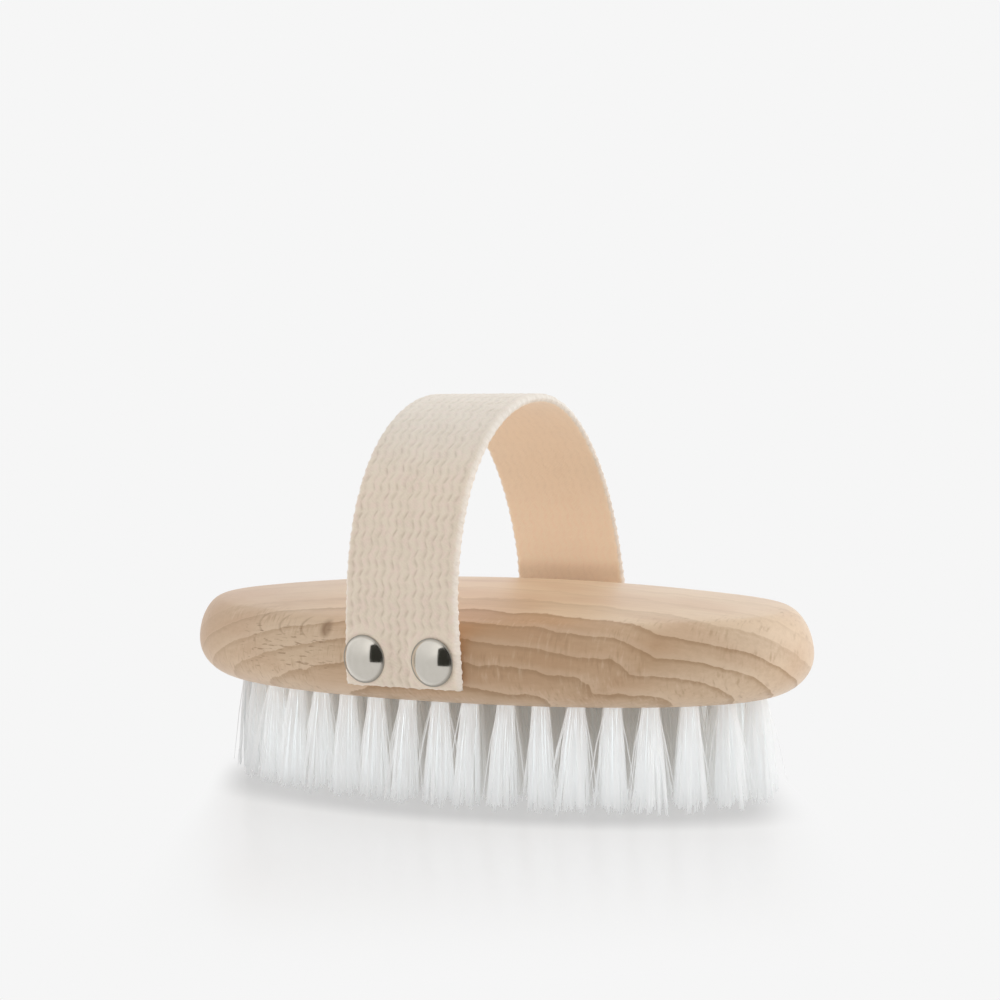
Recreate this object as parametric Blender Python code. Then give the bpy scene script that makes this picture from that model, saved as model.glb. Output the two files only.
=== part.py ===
"""Oval body brush in metres, +Z up, with its length along X and its bristle tips on z = 0.

A block of beech carries nylon tufts in its flat underside, in three oval rings and a row along the
middle. A webbing strap arches over the crowned back, and two domed nails hold it on each long side.
"""

import math

import bmesh
import bpy
from mathutils import Matrix, Vector

# Fits
CLEARANCE = 0.0003

# Beech block
BLOCK_LENGTH = 0.140
BLOCK_WIDTH = 0.066
OUTLINE_POWER = 2.12
LOWER_EDGE_HEIGHT = 0.0078
LOWER_EDGE_RUN = 0.0090
UPPER_EDGE_HEIGHT = 0.0076
UPPER_EDGE_RUN = 0.0050
CROWN_HEIGHT = 0.0052
OUTLINE_POINTS = 72
EDGE_STEPS = 6
CROWN_STEPS = 5

# Bristles
BRISTLE_LENGTH = 0.0210
TUFT_DIAMETER = 0.0035
TUFT_PITCH = 0.00735
TUFT_RINGS = 3
STRANDS_PER_TUFT = 4
STRAND_THICKNESS = 0.0014
STRAND_SIDES = 4
SIDE_SPREAD = 0.0026
END_SPREAD = 0.0004
BAND_MARGIN = 0.0004
BAND_THICKNESS = 0.0014
BAND_END_POINTS = 7

# Webbing strap
STRAP_WIDTH = 0.0254
STRAP_THICKNESS = 0.0020
HAND_GAP = 0.0364
STRAP_BELOW_NAIL = 0.0053
STRAP_LANES = 6
LEG_STEPS = 3
ARCH_STEPS = 36

# Domed nails
NAIL_SPACING = 0.0157
NAIL_ABOVE_WIDEST = 0.0019
HEAD_DIAMETER = 0.0095
HEAD_HEIGHT = 0.0024
HEAD_WALL = 0.0005
SHANK_DIAMETER = 0.0018
SHANK_LENGTH = 0.0160
POINT_LENGTH = 0.0030
HEAD_STEPS = 6
NAIL_SIDES = 24
DRILL_SIDES = 12

# Heights and half sizes that follow from the dimensions above
HALF_LENGTH = BLOCK_LENGTH / 2
HALF_WIDTH = BLOCK_WIDTH / 2
UNDERSIDE = BRISTLE_LENGTH
WIDEST = UNDERSIDE + LOWER_EDGE_HEIGHT
BLOCK_TOP = WIDEST + UPPER_EDGE_HEIGHT + CROWN_HEIGHT
BAND_HALF_WIDTH = TUFT_DIAMETER / 2 + BAND_MARGIN
RING_INSET = LOWER_EDGE_RUN + BAND_HALF_WIDTH
RING_HALF_LENGTH = HALF_LENGTH - RING_INSET
RING_HALF_WIDTH = HALF_WIDTH - RING_INSET
RING_SPACING = RING_HALF_WIDTH / TUFT_RINGS
STRAP_INNER = HALF_WIDTH + CLEARANCE
STRAP_OUTER = STRAP_INNER + STRAP_THICKNESS
STRAP_MIDDLE = STRAP_INNER + STRAP_THICKNESS / 2
ARCH_FOOT = WIDEST + UPPER_EDGE_HEIGHT / 2
ARCH_TOP = BLOCK_TOP + HAND_GAP + STRAP_THICKNESS / 2
NAIL_HEIGHT = WIDEST + NAIL_ABOVE_WIDEST
STRAP_END = NAIL_HEIGHT - STRAP_BELOW_NAIL
HEAD_SEAT = STRAP_OUTER + CLEARANCE


def clear_scene():
    for old in list(bpy.data.objects):
        bpy.data.objects.remove(old, do_unlink=True)


def material(name, colour, roughness, metallic):
    made = bpy.data.materials.new(name)
    made.use_nodes = True
    shader = made.node_tree.nodes["Principled BSDF"]
    shader.inputs["Base Color"].default_value = (*colour, 1.0)
    shader.inputs["Roughness"].default_value = roughness
    shader.inputs["Metallic"].default_value = metallic
    made.diffuse_color = (*colour, 1.0)
    return made


def object_from(name, bm, finish=None, smooth_angle=None):
    """A scene object from a finished bmesh, with its faces turned outwards."""
    bmesh.ops.recalc_face_normals(bm, faces=bm.faces)
    mesh = bpy.data.meshes.new(name)
    bm.to_mesh(mesh)
    bm.free()
    if finish:
        mesh.materials.append(finish)
    if smooth_angle:
        mesh.shade_smooth()
        mesh.set_sharp_from_angle(angle=math.radians(smooth_angle))
    made = bpy.data.objects.new(name, mesh)
    bpy.context.scene.collection.objects.link(made)
    return made


def as_cutter(helper):
    helper.hide_render = True
    helper.display_type = "WIRE"
    return helper


def combine(target, other, operation):
    step = target.modifiers.new(operation.lower() + "_" + other.name, "BOOLEAN")
    step.operation = operation
    step.solver = "EXACT"
    step.object = other


def oval(half_length, half_width, count):
    """Points round a superellipse, starting at +X."""
    points = []
    for index in range(count):
        turn = 2 * math.pi * index / count
        along = math.copysign(abs(math.cos(turn)) ** (2 / OUTLINE_POWER), math.cos(turn))
        across = math.copysign(abs(math.sin(turn)) ** (2 / OUTLINE_POWER), math.sin(turn))
        points.append(Vector((half_length * along, half_width * across)))
    return points


def offset_loop(points, distance):
    """A closed loop moved outwards by a distance along its own normals."""
    moved = []
    for index, point in enumerate(points):
        ahead = points[(index + 1) % len(points)]
        tangent = (ahead - points[index - 1]).normalized()
        moved.append(point + distance * Vector((tangent.y, -tangent.x)))
    return moved


def evenly_spaced(points, count):
    """Places at equal distances along a closed loop."""
    closed = points + points[:1]
    travelled = [0.0]
    for start, end in zip(closed, closed[1:]):
        travelled.append(travelled[-1] + (end - start).length)
    places = []
    segment = 0
    for index in range(count):
        wanted = travelled[-1] * index / count
        while travelled[segment + 1] < wanted:
            segment += 1
        share = (wanted - travelled[segment]) / (travelled[segment + 1] - travelled[segment])
        places.append(closed[segment].lerp(closed[segment + 1], share))
    return places


def loop_length(points):
    return sum((points[index] - points[index - 1]).length for index in range(len(points)))


def add_loop(bm, points, height):
    return [bm.verts.new((point.x, point.y, height)) for point in points]


def wall_between(bm, lower, upper):
    """Quads between two closed loops of as many vertices."""
    for index in range(len(lower)):
        bm.faces.new((lower[index - 1], lower[index], upper[index], upper[index - 1]))


def block_levels():
    """Insets from the widest outline, with their heights, from the underside's rim to the shoulder."""
    levels = []
    for step in range(EDGE_STEPS + 1):
        turn = math.pi / 2 * step / EDGE_STEPS
        inset = LOWER_EDGE_RUN * (1 - math.sin(turn))
        levels.append((inset, UNDERSIDE + LOWER_EDGE_HEIGHT * (1 - math.cos(turn))))
    for step in range(1, EDGE_STEPS + 1):
        turn = math.pi / 2 * step / EDGE_STEPS
        inset = UPPER_EDGE_RUN * (1 - math.cos(turn))
        rounded = WIDEST + UPPER_EDGE_HEIGHT * math.sin(turn)
        levels.append((inset, rounded + crown_rise(1 - inset / HALF_WIDTH)))
    return levels


def crown_rise(share):
    """Height that the crown adds at a share of the half width from the middle line."""
    return CROWN_HEIGHT * (1 - share**2)


def make_block(finish):
    bm = bmesh.new()
    loops = []
    for inset, height in block_levels():
        outline = oval(HALF_LENGTH - inset, HALF_WIDTH - inset, OUTLINE_POINTS)
        loops.append(add_loop(bm, outline, height))
    shoulder = oval(HALF_LENGTH - UPPER_EDGE_RUN, HALF_WIDTH - UPPER_EDGE_RUN, OUTLINE_POINTS)
    for step in range(1, CROWN_STEPS):
        share = 1 - step / CROWN_STEPS
        rise = crown_rise(share * (1 - UPPER_EDGE_RUN / HALF_WIDTH))
        outline = [point * share for point in shoulder]
        loops.append(add_loop(bm, outline, WIDEST + UPPER_EDGE_HEIGHT + rise))
    for lower, upper in zip(loops, loops[1:]):
        wall_between(bm, lower, upper)
    bm.faces.new(loops[0])
    peak = bm.verts.new((0, 0, BLOCK_TOP))
    for index in range(OUTLINE_POINTS):
        bm.faces.new((loops[-1][index - 1], loops[-1][index], peak))
    return object_from("beech_block", bm, finish, smooth_angle=35)


def stadium(half_length, radius):
    """A slot's outline: two half circles joined by straight sides, along X."""
    points = []
    for end in (1, -1):
        for index in range(BAND_END_POINTS):
            turn = -math.pi / 2 + math.pi * index / (BAND_END_POINTS - 1)
            along = half_length + radius * math.cos(turn)
            points.append(end * Vector((along, radius * math.sin(turn))))
    return points


def add_prism(bm, outline, bottom, top):
    lower = add_loop(bm, outline, bottom)
    upper = add_loop(bm, outline, top)
    wall_between(bm, lower, upper)
    bm.faces.new(lower)
    bm.faces.new(upper)


def add_ring_prism(bm, outer, inner, bottom, top):
    rims = [add_loop(bm, outline, height) for outline in (outer, inner) for height in (bottom, top)]
    outer_low, outer_high, inner_low, inner_high = rims
    wall_between(bm, outer_low, outer_high)
    wall_between(bm, inner_low, inner_high)
    wall_between(bm, outer_low, inner_low)
    wall_between(bm, outer_high, inner_high)


def tuft_ring(index):
    """The line that a ring's tufts stand on, counted from the rim inwards."""
    inset = index * RING_SPACING
    return oval(RING_HALF_LENGTH - inset, RING_HALF_WIDTH - inset, OUTLINE_POINTS)


def ring_group(index):
    """A ring's tuft places, and a function that gives its band's outlines for a half width."""
    line = tuft_ring(index)
    places = evenly_spaced(line, 2 * int(loop_length(line) / TUFT_PITCH / 2))
    innermost = index == TUFT_RINGS - 1
    hollow_half_length = RING_HALF_LENGTH - (index + 1) * RING_SPACING + BAND_HALF_WIDTH
    ring_half_width = RING_HALF_WIDTH - index * RING_SPACING

    def band(half_width):
        if innermost:
            half_length = hollow_half_length - half_width
            hollow = oval(half_length, ring_half_width - half_width, OUTLINE_POINTS)
        else:
            hollow = offset_loop(line, -half_width)
        return [offset_loop(line, half_width), hollow]

    return places, band


def middle_row_group():
    """The tufts on the middle line, which end two ring spacings inside the innermost ring."""
    half_length = RING_HALF_LENGTH - (TUFT_RINGS + 1) * RING_SPACING
    count = 2 * int(half_length / TUFT_PITCH) + 1
    places = [Vector(((index - (count - 1) / 2) * TUFT_PITCH, 0)) for index in range(count)]

    def band(half_width):
        return [stadium(places[-1].x, half_width)]

    return places, band


def bristle_groups():
    groups = [(f"bristle_ring_{index + 1}", *ring_group(index)) for index in range(TUFT_RINGS)]
    groups.append(("bristle_middle_row", *middle_row_group()))
    return groups


def add_band(bm, outlines, bottom, top):
    if len(outlines) == 2:
        add_ring_prism(bm, *outlines, bottom, top)
    else:
        add_prism(bm, *outlines, bottom, top)


def add_strand(bm, root, tip, turn):
    """One straight strand, cut level at both ends, from inside its band down to the tips' plane."""
    section = []
    for side in range(STRAND_SIDES):
        angle = turn + 2 * math.pi * (side + 0.5) / STRAND_SIDES
        section.append(STRAND_THICKNESS / 2 * Vector((math.cos(angle), math.sin(angle))))
    lower = add_loop(bm, [tip + corner for corner in section], 0)
    upper = add_loop(bm, [root + corner for corner in section], UNDERSIDE + BAND_THICKNESS / 2)
    wall_between(bm, lower, upper)
    bm.faces.new(lower)
    bm.faces.new(upper)


def tuft_foot(place):
    """Where a tuft's middle line meets the tips' plane: the outer tufts lean outwards."""
    along = place.x * (1 + END_SPREAD / RING_HALF_LENGTH)
    across = place.y * (1 + SIDE_SPREAD / RING_HALF_WIDTH)
    return Vector((along, across))


def tip_diameter(groups):
    """The circle that a tuft spreads to, which just clears its nearest neighbour's."""
    feet = [tuft_foot(place) for _, places, _ in groups for place in places]
    gaps = ((a - b).length for index, a in enumerate(feet) for b in feet[:index])
    return min(gaps) - CLEARANCE


def add_tuft(bm, place, start, spread):
    """A circle of strands that lean apart towards the tips."""
    root_radius = (TUFT_DIAMETER - STRAND_THICKNESS) / 2
    tip_radius = (spread - STRAND_THICKNESS) / 2
    foot = tuft_foot(place)
    for index in range(STRANDS_PER_TUFT):
        angle = start + 2 * math.pi * index / STRANDS_PER_TUFT
        lean = Vector((math.cos(angle), math.sin(angle)))
        add_strand(bm, place + root_radius * lean, foot + tip_radius * lean, angle)


def make_bristles(name, places, band, spread, finish):
    """A group's strands, fused to the band that carries them."""
    golden_angle = math.pi * (3 - math.sqrt(5))
    bm = bmesh.new()
    add_band(bm, band(BAND_HALF_WIDTH), UNDERSIDE, UNDERSIDE + BAND_THICKNESS)
    backing = object_from(name, bm, finish)
    strands = bmesh.new()
    for index, place in enumerate(places):
        add_tuft(strands, place, index * golden_angle, spread)
    combine(backing, as_cutter(object_from(name + "_strands", strands)), "UNION")


def make_band_recess(name, band):
    """The slot that a group's band is let into, cut by itself so that close neighbours may meet."""
    bm = bmesh.new()
    outlines = band(BAND_HALF_WIDTH + CLEARANCE)
    add_band(bm, outlines, UNDERSIDE - CLEARANCE, UNDERSIDE + BAND_THICKNESS + CLEARANCE)
    return as_cutter(object_from(name + "_recess", bm))


def side_fall_back(along):
    """How far the oval's long side lies inside its widest point, at a distance from the middle."""
    return HALF_WIDTH * (1 - (1 - abs(along / HALF_LENGTH) ** OUTLINE_POWER) ** (1 / OUTLINE_POWER))


def strap_line():
    """Stations of the strap's middle: a (y, z) point, its outward normal and how far it hugs the block."""
    stations = []
    for step in range(LEG_STEPS):
        height = STRAP_END + (ARCH_FOOT - STRAP_END) * step / LEG_STEPS
        stations.append((Vector((-STRAP_MIDDLE, height)), Vector((-1, 0)), 1.0))
    rise = ARCH_TOP - ARCH_FOOT
    for step in range(ARCH_STEPS + 1):
        turn = math.pi * step / ARCH_STEPS
        point = Vector((-STRAP_MIDDLE * math.cos(turn), ARCH_FOOT + rise * math.sin(turn)))
        normal = Vector((-rise * math.cos(turn), STRAP_MIDDLE * math.sin(turn))).normalized()
        stations.append((point, normal, (1 - math.sin(turn)) ** 2))
    for point, _, _ in reversed(stations[:LEG_STEPS]):
        stations.append((Vector((-point.x, point.y)), Vector((1, 0)), 1.0))
    return stations


def make_strap(finish):
    bm = bmesh.new()
    lanes = [STRAP_WIDTH * (lane / STRAP_LANES - 0.5) for lane in range(STRAP_LANES + 1)]
    loops = []
    for point, normal, hug in strap_line():
        corners = []
        for side, order in ((1, lanes), (-1, lanes[::-1])):
            for along in order:
                tuck = math.copysign(hug * side_fall_back(along), -point.x)
                place = point + side * STRAP_THICKNESS / 2 * normal
                corners.append(bm.verts.new((along, place.x + tuck, place.y)))
        loops.append(corners)
    for lower, upper in zip(loops, loops[1:]):
        wall_between(bm, lower, upper)
    bm.faces.new(loops[0])
    bm.faces.new(loops[-1])
    return object_from("hand_strap", bm, finish, smooth_angle=35)


def nail_profile():
    """(radius, height) from the dome's top, round its rim and hollow, to the shank's point."""
    radius = HEAD_DIAMETER / 2
    ball = (radius**2 + HEAD_HEIGHT**2) / (2 * HEAD_HEIGHT)
    opening = math.asin(radius / ball)
    outside = []
    for step in range(1, HEAD_STEPS + 1):
        turn = opening * step / HEAD_STEPS
        outside.append((ball * math.sin(turn), HEAD_HEIGHT - ball * (1 - math.cos(turn))))
    hollow_ball = ball - HEAD_WALL
    ball_middle = HEAD_HEIGHT - ball
    hollow = []
    for step in range(HEAD_STEPS, 0, -1):
        turn = math.acos(-ball_middle / hollow_ball) * step / HEAD_STEPS
        place = (hollow_ball * math.sin(turn), ball_middle + hollow_ball * math.cos(turn))
        if place[0] > SHANK_DIAMETER / 2 + CLEARANCE:
            hollow.append(place)
    shank_radius = SHANK_DIAMETER / 2
    root = ball_middle + math.sqrt(hollow_ball**2 - shank_radius**2)
    shank = [(shank_radius, root), (shank_radius, POINT_LENGTH - SHANK_LENGTH)]
    return outside + hollow + shank


def make_nails(finish):
    bm = bmesh.new()
    rings = []
    for radius, height in nail_profile():
        turns = (2 * math.pi * index / NAIL_SIDES for index in range(NAIL_SIDES))
        circle = [Vector((radius * math.cos(turn), radius * math.sin(turn))) for turn in turns]
        rings.append(add_loop(bm, circle, height))
    for upper, lower in zip(rings, rings[1:]):
        wall_between(bm, lower, upper)
    ends = ((rings[0], HEAD_HEIGHT), (rings[-1], -SHANK_LENGTH))
    for ring, height in ends:
        middle = bm.verts.new((0, 0, height))
        for index in range(NAIL_SIDES):
            bm.faces.new((ring[index - 1], ring[index], middle))
    pattern = object_from("nail_pattern", bm, finish, smooth_angle=40)
    for name, place, facing in nail_places():
        nail = bpy.data.objects.new(name, pattern.data)
        bpy.context.scene.collection.objects.link(nail)
        nail.location = place
        nail.rotation_euler = (facing * math.pi / 2, 0, 0)
    bpy.data.objects.remove(pattern, do_unlink=True)


def nail_places():
    """Each nail's name, the middle of its head's seat and its side: 1 faces -Y and -1 faces +Y."""
    places = []
    for side, facing in (("front", 1), ("back", -1)):
        for end, along in (("left", -NAIL_SPACING / 2), ("right", NAIL_SPACING / 2)):
            seat = Vector((along, -facing * (HEAD_SEAT - side_fall_back(along)), NAIL_HEIGHT))
            places.append((f"strap_nail_{side}_{end}", seat, facing))
    return places


def make_nail_holes():
    """The drill's path through strap and block at each nail, deeper than the shank."""
    bm = bmesh.new()
    length = SHANK_LENGTH + HEAD_HEIGHT + CLEARANCE
    for _, seat, facing in nail_places():
        middle = seat + Vector((0, facing * (length / 2 - HEAD_HEIGHT), 0))
        bmesh.ops.create_cone(
            bm,
            cap_ends=True,
            segments=DRILL_SIDES,
            radius1=SHANK_DIAMETER / 2 + CLEARANCE,
            radius2=SHANK_DIAMETER / 2 + CLEARANCE,
            depth=length,
            matrix=Matrix.Translation(middle) @ Matrix.Rotation(math.pi / 2, 4, "X"),
        )
    return as_cutter(object_from("nail_holes", bm))


def main():
    clear_scene()
    beech = material("beech", (0.56, 0.38, 0.23), 0.5, 0.0)
    webbing = material("cotton_webbing", (0.71, 0.58, 0.45), 0.9, 0.0)
    nickel = material("nickel", (0.62, 0.60, 0.57), 0.18, 1.0)
    nylon = material("nylon", (0.82, 0.83, 0.80), 0.4, 0.0)
    groups = bristle_groups()
    holes = make_nail_holes()
    block = make_block(beech)
    for name, _, band in groups:
        combine(block, make_band_recess(name, band), "DIFFERENCE")
    combine(block, holes, "DIFFERENCE")
    combine(make_strap(webbing), holes, "DIFFERENCE")
    make_nails(nickel)
    spread = tip_diameter(groups)
    for name, places, band in groups:
        make_bristles(name, places, band, spread, nylon)


main()
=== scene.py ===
"""The looks of an oval body brush: beech back, nylon tufts, cotton hand strap and four domed nails.

Sizes and places are in metres, and creases, headings and pitches in degrees.
"""

import bisect
import math
import random

import bmesh
import bpy
from mathutils import Matrix, Vector, noise


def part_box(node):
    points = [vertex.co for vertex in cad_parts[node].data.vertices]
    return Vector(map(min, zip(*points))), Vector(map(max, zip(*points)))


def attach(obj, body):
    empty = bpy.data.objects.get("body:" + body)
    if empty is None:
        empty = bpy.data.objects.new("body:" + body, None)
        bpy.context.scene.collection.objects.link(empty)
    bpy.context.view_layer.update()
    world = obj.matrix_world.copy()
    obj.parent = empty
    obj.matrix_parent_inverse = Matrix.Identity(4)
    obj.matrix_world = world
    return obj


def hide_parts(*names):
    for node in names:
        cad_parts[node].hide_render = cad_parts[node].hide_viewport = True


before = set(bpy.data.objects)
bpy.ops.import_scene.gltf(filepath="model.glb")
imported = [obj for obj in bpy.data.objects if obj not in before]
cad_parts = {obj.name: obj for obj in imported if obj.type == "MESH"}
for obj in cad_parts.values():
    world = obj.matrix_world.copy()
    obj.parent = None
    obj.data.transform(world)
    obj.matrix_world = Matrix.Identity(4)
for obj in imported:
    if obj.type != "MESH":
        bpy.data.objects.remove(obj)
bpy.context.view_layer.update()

# The back
# One block of pale beech, sawn to an oval, rounded over along both rims and sanded to a low crown. Its
# flat underside is bored for the tufts and its long sides for the nails, and it is oiled, not varnished.
BACK_LOW, BACK_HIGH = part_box("beech_block")
HALF_LENGTH = BACK_HIGH.x
HALF_WIDTH = BACK_HIGH.y
UNDERSIDE = BACK_LOW.z
LOWER_ROUND_IN = 0.0090
LOWER_ROUND_UP = 0.0078
UPPER_ROUND_IN = 0.0050
UPPER_ROUND_UP = 0.0076
WIDEST = UNDERSIDE + LOWER_ROUND_UP
CROWN_RISE = BACK_HIGH.z - WIDEST - UPPER_ROUND_UP
OVAL_POWER = 2.12
OVAL_FULLNESS = 1.0677
QUARTER_STEPS = 48
ROUND_STEPS = 12
CROWN_STEPS = 12
BORDER = 0.0008
CREASE = 35
TOUCHING = 1e-6
TUFT_DIAMETER = 0.0035
TUFT_PITCH = 0.00735
TUFT_RINGS = 3
TUFT_BAND = 0.00215
RING_INSET = LOWER_ROUND_IN + TUFT_BAND
RING_LENGTH = HALF_LENGTH - RING_INSET
RING_WIDTH = HALF_WIDTH - RING_INSET
BORE_DIAMETER = 0.0037
BORE_DEPTH = 0.0080
BORE_SIDES = 20
DRILL_LEAD = CROWN_RISE / 4
NAIL_BORE = 0.0024
NAIL_BORE_SIDES = 16
NAIL_NODES = [f"strap_nail_{side}_{end}" for side in ("front", "back") for end in ("left", "right")]


def flatter(share):
    """How much of the crown's rise is left at a share of the half width from the middle line."""
    return CROWN_RISE * (1 - share**2)


def back_levels():
    """Half length, half width and height of each level, from the underside to the crown's middle."""
    levels = []
    for step in range(ROUND_STEPS + 1):
        turn = math.pi / 2 * step / ROUND_STEPS
        inset = LOWER_ROUND_IN * (1 - math.sin(turn))
        height = UNDERSIDE + LOWER_ROUND_UP * (1 - math.cos(turn))
        levels.append((HALF_LENGTH - inset, HALF_WIDTH - inset, height))
    for step in range(1, ROUND_STEPS + 1):
        turn = math.pi / 2 * step / ROUND_STEPS
        inset = UPPER_ROUND_IN * (1 - math.cos(turn))
        height = WIDEST + UPPER_ROUND_UP * math.sin(turn) + flatter(1 - inset / HALF_WIDTH)
        levels.append((HALF_LENGTH - inset, HALF_WIDTH - inset, height))
    shoulder_length, shoulder_width, _ = levels[-1]
    for step in range(1, CROWN_STEPS):
        share = 1 - step / CROWN_STEPS
        height = WIDEST + UPPER_ROUND_UP + flatter(share * shoulder_width / HALF_WIDTH)
        levels.append((shoulder_length * share, shoulder_width * share, height))
    return levels


def start_piece(name):
    """Names the object that was just added and opens its mesh for editing."""
    piece = bpy.context.object
    piece.name = name
    piece.data.name = name
    bpy.ops.object.mode_set(mode="EDIT")
    return piece


def select_points(wanted):
    """Selects the opened mesh's points whose place is wanted, and what lies between them."""
    bpy.ops.mesh.select_mode(type="VERT")
    bpy.ops.mesh.select_all(action="DESELECT")
    opened = bmesh.from_edit_mesh(bpy.context.edit_object.data)
    for point in opened.verts:
        point.select = wanted(point.co)
    opened.select_flush_mode()
    bmesh.update_edit_mesh(bpy.context.edit_object.data)


def close_piece(angle):
    """Ends the editing: faces outwards, edges sharp only where faces meet more steeply than angle."""
    bpy.ops.mesh.select_all(action="SELECT")
    bpy.ops.mesh.normals_make_consistent(inside=False)
    bpy.ops.object.mode_set(mode="OBJECT")
    bpy.ops.object.shade_smooth_by_angle(angle=math.radians(angle))


def cut_away(piece, cutter):
    """Takes the cutter's shape out of the piece and removes the cutter."""
    step = piece.modifiers.new("cut", "BOOLEAN")
    step.operation = "DIFFERENCE"
    step.solver = "EXACT"
    step.object = cutter
    bpy.context.view_layer.objects.active = piece
    bpy.ops.object.modifier_apply(modifier=step.name)
    bpy.data.objects.remove(cutter, do_unlink=True)


def oval_line(half_length, half_width, count=720):
    """Points round the same oval as the block's outline, starting at its right end."""
    line = []
    for index in range(count):
        turn = 2 * math.pi * index / count
        along = math.copysign(abs(math.cos(turn)) ** (2 / OVAL_POWER), math.cos(turn))
        across = math.copysign(abs(math.sin(turn)) ** (2 / OVAL_POWER), math.sin(turn))
        line.append(Vector((half_length * along, half_width * across)))
    return line


def tuft_places():
    """Where each tuft is bored in, ring by ring and then along the middle row."""
    spacing = RING_WIDTH / TUFT_RINGS
    groups = []
    for ring in range(TUFT_RINGS):
        line = oval_line(RING_LENGTH - ring * spacing, RING_WIDTH - ring * spacing)
        steps = [(point - line[index - 1]).length for index, point in enumerate(line)]
        count = 2 * int(sum(steps) / TUFT_PITCH / 2)
        places = [line[0]]
        travelled = 0
        for step, point in zip(steps[1:], line[1:]):
            travelled += step
            if travelled >= sum(steps) / count * len(places) and len(places) < count:
                places.append(point)
        groups.append(places)
    half_row = int((RING_LENGTH - (TUFT_RINGS + 1) * spacing) / TUFT_PITCH)
    groups.append([Vector((index * TUFT_PITCH, 0)) for index in range(-half_row, half_row + 1)])
    return groups


# The oval outline is pulled up level by level and closed over the crown and across the underside.
bpy.ops.object.select_all(action="DESELECT")
levels = back_levels()
first_length, first_width, _ = levels[0]
bpy.ops.curve.primitive_bezier_circle_add(radius=1, location=(0, 0, UNDERSIDE))
outline = bpy.context.object
outline.data.resolution_u = QUARTER_STEPS
for point in outline.data.splines[0].bezier_points:
    point.handle_left_type = point.handle_right_type = "FREE"
    point.handle_left = point.co + OVAL_FULLNESS * (point.handle_left - point.co)
    point.handle_right = point.co + OVAL_FULLNESS * (point.handle_right - point.co)
outline.scale = (first_length, first_width, 1)
bpy.ops.object.convert(target="MESH")
bpy.ops.object.transform_apply(location=True, rotation=True, scale=True)
back = start_piece("beech_back")
bpy.ops.mesh.select_all(action="SELECT")
for (length, width, low), (next_length, next_width, high) in zip(levels, levels[1:]):
    bpy.ops.mesh.extrude_edges_move(TRANSFORM_OT_translate={"value": (0, 0, high - low)})
    bpy.ops.transform.resize(value=(next_length / length, next_width / width, 1))
bpy.ops.mesh.extrude_edges_move(TRANSFORM_OT_translate={"value": (0, 0, BACK_HIGH.z - levels[-1][2])})
bpy.ops.mesh.merge(type="CENTER")
select_points(lambda point: point.z < UNDERSIDE + TOUCHING)
bpy.ops.mesh.edge_face_add()
bpy.ops.mesh.inset(thickness=BORDER)
close_piece(CREASE)

# All bores are one cutter: a cylinder for each tuft, from just under the wood, and one for each nail.
tufts = tuft_places()
drill_middle = UNDERSIDE + BORE_DEPTH / 2 - DRILL_LEAD
bore = {"vertices": BORE_SIDES, "radius": BORE_DIAMETER / 2, "depth": BORE_DEPTH}
bpy.ops.mesh.primitive_cylinder_add(**bore, location=(*tufts[0][0], drill_middle))
drill = start_piece("drill")
for place in [place for group in tufts for place in group][1:]:
    bpy.ops.mesh.primitive_cylinder_add(**bore, location=(*place, drill_middle))
for node in NAIL_NODES:
    low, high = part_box(node)
    bpy.ops.mesh.primitive_cylinder_add(
        vertices=NAIL_BORE_SIDES,
        radius=NAIL_BORE / 2,
        depth=high.y - low.y,
        location=(low + high) / 2,
        rotation=(math.pi / 2, 0, 0),
    )
close_piece(CREASE)
cut_away(back, drill)
bpy.ops.object.shade_smooth_by_angle(angle=math.radians(CREASE))


class Wire:
    """A shader socket that takes part in plain arithmetic, each operation adding its Math node."""

    def __init__(self, tree, outlet):
        self.tree = tree
        self.outlet = outlet

    def node(self, kind, settings=None, inputs=None, outlet=0):
        """Adds any other node: first its settings, then its sockets' values or links."""
        made = self.tree.nodes.new("ShaderNode" + kind)
        for name, value in (settings or {}).items():
            setattr(made, name, value)
        for name, value in (inputs or {}).items():
            if isinstance(value, Wire):
                self.tree.links.new(value.outlet, made.inputs[name])
            else:
                made.inputs[name].default_value = value
        return Wire(self.tree, made.outputs[outlet])

    def math(self, operation, *values):
        """Adds a Math node that works on this number and the others."""
        return self.node("Math", {"operation": operation}, dict(enumerate((self, *values))))

    def __add__(self, other):
        return self.math("ADD", other)

    def __mul__(self, other):
        return self.math("MULTIPLY", other)

    def __sub__(self, other):
        return self.math("SUBTRACT", other)

    def __rsub__(self, other):
        return self.node("Math", {"operation": "SUBTRACT"}, {0: other, 1: self})

    def __truediv__(self, other):
        return self.math("DIVIDE", other)

    def __pow__(self, other):
        return self.math("POWER", other)

    __radd__ = __add__
    __rmul__ = __mul__

    def smooth(self, start, end):
        """0 before start, 1 after end and an even curve between them."""
        settings = {"interpolation_type": "SMOOTHSTEP"}
        ends = {"From Min": start, "From Max": end, "To Min": 0, "To Max": 1}
        return self.node("MapRange", settings, {"Value": self, **ends})

    def blend(self, first, second):
        """The colour that this factor picks between two colours."""
        return self.node("Mix", {"data_type": "RGBA"}, {0: self, 6: first, 7: second}, 2)

    def split(self):
        """The three numbers of a place."""
        parts = self.node("SeparateXYZ", None, {0: self})
        return [Wire(self.tree, outlet) for outlet in parts.outlet.node.outputs]

    def joined(self, second, third):
        """The place that this number and two more make."""
        return self.node("CombineXYZ", None, {0: self, 1: second, 2: third})

    def noise(self, detail=2.0, roughness=0.5):
        """Even noise from 0 to 1 at this place."""
        sockets = {"Vector": self, "Scale": 1.0, "Detail": detail, "Roughness": roughness}
        return self.node("TexNoise", None, sockets)

    def bump(self, strength, distance):
        """The way a surface faces where this number is its height."""
        return self.node("Bump", None, {"Strength": strength, "Distance": distance, "Height": self})


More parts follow.
